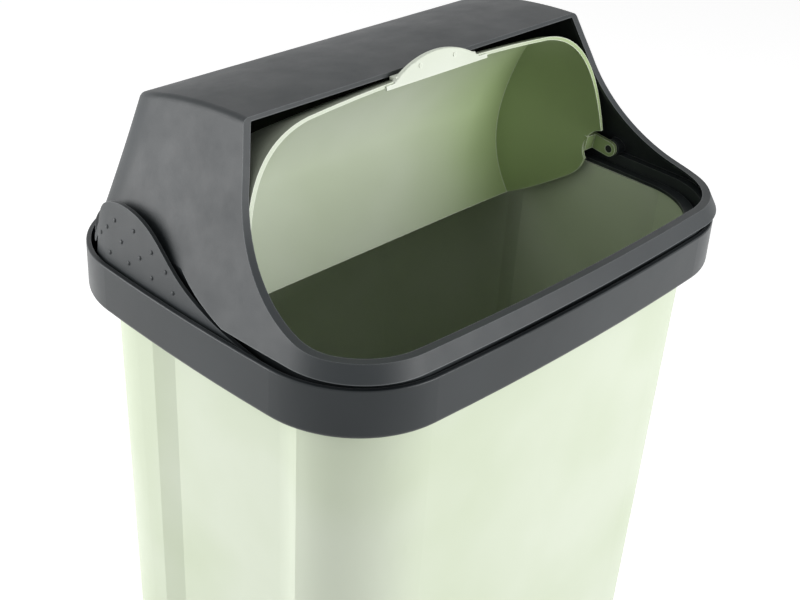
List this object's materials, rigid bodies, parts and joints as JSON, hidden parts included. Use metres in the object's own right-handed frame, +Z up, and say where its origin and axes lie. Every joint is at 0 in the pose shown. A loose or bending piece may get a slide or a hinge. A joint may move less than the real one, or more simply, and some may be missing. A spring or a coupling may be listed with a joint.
{
  "type": "roll-top trash can",
  "caption": "Tall tapered waste bin with a lift-off collar, a hood with a large front opening and a scoop flap that rolls back into the hood.",
  "frame": {"origin": "middle of the bin's footprint on the floor", "axes": "+Z up, -Y towards the front where the opening is, X across"},
  "size_m": [0.4, 0.3, 0.6948],
  "materials": {
    "body_plastic": "smooth satin",
    "collar_plastic": "satin with soft gloss",
    "hood_plastic": "fine grain satin",
    "flap_plastic": "smooth satin",
    "tab_plastic": "smooth satin",
    "pin_plastic": "satin",
    "grip_plastic": "satin with raised dots"
  },
  "bodies": {
    "bin": {"bin_body": "body_plastic"},
    "collar": {"rim_collar": "collar_plastic"},
    "hood": {"hood_shell": "hood_plastic", "pivot_pin_right": "pin_plastic", "pivot_pin_left": "pin_plastic"},
    "flap": {"roll_flap": "flap_plastic", "finger_tab": "tab_plastic"},
    "right_grip": {"grip_right": "grip_plastic"},
    "left_grip": {"grip_left": "grip_plastic"}
  },
  "joints": [
    {"name": "collar_lift", "type": "slide", "parent": "bin", "child": "collar", "axis": [0, 0, 1], "range_m": [0, 0.06]},
    {"name": "hood_lift", "type": "slide", "parent": "collar", "child": "hood", "axis": [0, 0, 1], "range_m": [0, 0.06]},
    {"name": "flap_roll", "type": "hinge", "parent": "hood", "child": "flap", "pos_m": [0, -0.0318, 0.5831], "axis": [1, 0, 0], "range_deg": [0, 98]},
    {"name": "right_grip_press", "type": "hinge", "parent": "hood", "child": "right_grip", "pos_m": [0.1882, 0, 0.5473], "axis": [0, -1, 0], "range_deg": [0, 2], "stiffness_Nm_per_rad": 6},
    {"name": "left_grip_press", "type": "hinge", "parent": "hood", "child": "left_grip", "pos_m": [-0.1882, 0, 0.5473], "axis": [0, 1, 0], "range_deg": [0, 2], "stiffness_Nm_per_rad": 6}
  ]
}
